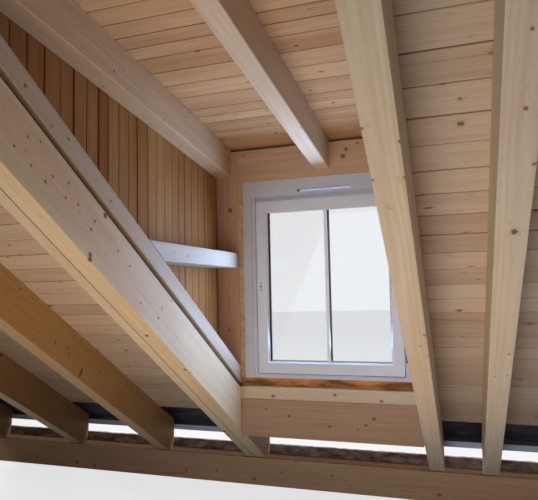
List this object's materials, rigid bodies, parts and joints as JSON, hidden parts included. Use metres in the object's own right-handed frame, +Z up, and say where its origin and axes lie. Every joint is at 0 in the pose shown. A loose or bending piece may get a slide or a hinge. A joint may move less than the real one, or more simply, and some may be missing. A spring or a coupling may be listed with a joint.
{
  "type": "shed dormer window framed into a timber roof",
  "caption": "Shed dormer with a small white window, boarded cheeks and deck, framed between trimmer rafters in a bare timber roof on its wall plate.",
  "frame": {"origin": "underside of the wall plate on its centre line, at the centre of the dormer opening", "axes": "+X along the eaves to the left as seen from the room, +Y inward from the eaves up the roof, +Z up; the dormer's window faces -Y"},
  "size_m": [4.197, 3.3498, 2.5391],
  "materials": {
    "rafter_timber": "planed, untreated softwood",
    "frame_timber": "planed, untreated softwood",
    "roof_boards": "planed boards with thin joints",
    "cheek_boards": "sawn boards with open joints",
    "batten_timber": "sawn",
    "underlay": "matt folded sheet",
    "window_plastic": "satin white",
    "glazing": "clear",
    "hinge_metal": "satin",
    "sill_metal": "satin",
    "joint_foam": "cut foam",
    "packer_timber": "resinous strip"
  },
  "bodies": {
    "root": {"wall_plate": "rafter_timber", "trimmer_left": "rafter_timber", "trimmer_left_doubler": "rafter_timber", "trimmer_right": "rafter_timber", "rafter_left_1": "rafter_timber", "rafter_left_2": "rafter_timber", "rafter_left_3": "rafter_timber", "rafter_right_1": "rafter_timber", "rafter_right_2": "rafter_timber", "upper_trimmer_beam": "rafter_timber", "cut_rafter": "rafter_timber", "dormer_rafter_left": "rafter_timber", "dormer_rafter_middle": "rafter_timber", "dormer_rafter_right": "rafter_timber", "lower_trimmer_beam": "frame_timber", "sill_rail": "frame_timber", "corner_post_left": "frame_timber", "corner_post_right": "frame_timber", "header_beam": "frame_timber", "sole_plate_left": "frame_timber", "sole_plate_right": "frame_timber", "cheek_rail_left": "frame_timber", "cheek_rail_right": "frame_timber", "dormer_fascia": "frame_timber", "cheek_boards_left": "cheek_boards", "cheek_boards_right": "cheek_boards", "dormer_deck": "roof_boards", "roof_deck_left": "roof_boards", "roof_deck_right": "roof_boards", "roof_deck_above": "roof_boards", "roof_deck_below": "roof_boards", "underlay_left": "underlay", "underlay_right": "underlay", "underlay_below": "underlay", "underlay_dormer": "underlay", "counter_battens": "batten_timber", "window_frame_extension": "window_plastic", "window_frame_ring": "window_plastic", "window_sash": "window_plastic", "trickle_vent": "window_plastic", "window_glass": "glazing", "sash_hinges": "hinge_metal", "foam_joint": "joint_foam", "window_packer": "packer_timber", "outer_sill": "sill_metal"}
  },
  "joints": []
}
